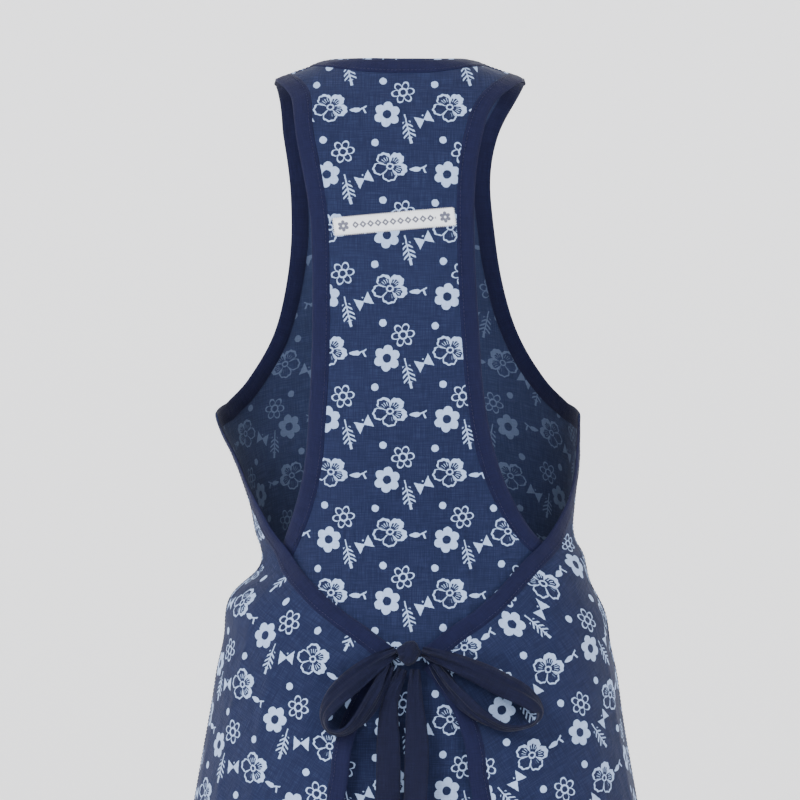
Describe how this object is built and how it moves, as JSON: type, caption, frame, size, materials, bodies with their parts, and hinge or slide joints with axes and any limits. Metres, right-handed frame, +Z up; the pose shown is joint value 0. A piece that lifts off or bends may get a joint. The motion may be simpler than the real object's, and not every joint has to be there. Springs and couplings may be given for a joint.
{
  "type": "artist smock apron",
  "caption": "Cotton artist smock as worn: front panel with wrap wings tied in a bow over a racer back, bound edges and patch pockets.",
  "frame": {"origin": "the point between the tops of the shoulders that the apron hangs from, 900 mm above its hem", "axes": "+Z up, -Y the tied back, +Y the front, +X the right side seen from behind"},
  "size_m": [0.467, 0.3357, 0.9016],
  "materials": {
    "print": "printed plain-weave cotton, pale sprigs on navy",
    "binding": "plain navy cotton bias binding",
    "tie": "plain navy cotton tape",
    "label": "woven ribbon, satin"
  },
  "bodies": {
    "garment": {"back_panel": "print", "front_panel": "print", "neck_binding": "binding", "back_hem": "print", "front_hem": "print", "woven_label": "label", "bow_knot": "tie", "left_wing": "print", "left_back_armhole_binding": "binding", "left_front_edge_binding": "binding", "left_wing_edge_binding": "binding", "left_pocket": "print", "left_pocket_binding": "binding", "left_side_seam": "print", "left_shoulder_seam": "print", "right_wing": "print", "right_back_armhole_binding": "binding", "right_front_edge_binding": "binding", "right_wing_edge_binding": "binding", "right_pocket": "print", "right_pocket_binding": "binding", "right_side_seam": "print", "right_shoulder_seam": "print"},
    "left_flap": {"left_wing_flap": "print", "left_flap_edge_binding": "binding", "left_flap_hem": "print"},
    "left_loop": {"left_bow_loop": "tie"},
    "left_tail": {"left_tie_tail": "tie"},
    "right_flap": {"right_wing_flap": "print", "right_flap_edge_binding": "binding", "right_flap_hem": "print"},
    "right_loop": {"right_bow_loop": "tie"},
    "right_tail": {"right_tie_tail": "tie"}
  },
  "joints": [
    {"name": "left_flap_open", "type": "hinge", "parent": "garment", "child": "left_flap", "pos_m": [-0.17467, -0.00269, -0.57428], "axis": [-0.1735, -0.0021, -0.9848], "range_deg": [0, 40]},
    {"name": "right_flap_open", "type": "hinge", "parent": "garment", "child": "right_flap", "pos_m": [0.17467, -0.00269, -0.57428], "axis": [-0.1735, 0.0021, 0.9848], "range_deg": [0, 40]},
    {"name": "left_loop_lift", "type": "hinge", "parent": "garment", "child": "left_loop", "pos_m": [0, -0.12412, -0.48037], "axis": [0, 1, 0], "range_deg": [0, 40]},
    {"name": "right_loop_lift", "type": "hinge", "parent": "garment", "child": "right_loop", "pos_m": [0, -0.12412, -0.48037], "axis": [0, -1, 0], "range_deg": [0, 40]},
    {"name": "left_tail_lift", "type": "hinge", "parent": "garment", "child": "left_tail", "pos_m": [0, -0.12412, -0.48037], "axis": [-1, 0, 0], "range_deg": [0, 60]},
    {"name": "right_tail_lift", "type": "hinge", "parent": "garment", "child": "right_tail", "pos_m": [0, -0.12412, -0.48037], "axis": [-1, 0, 0], "range_deg": [0, 60]}
  ]
}
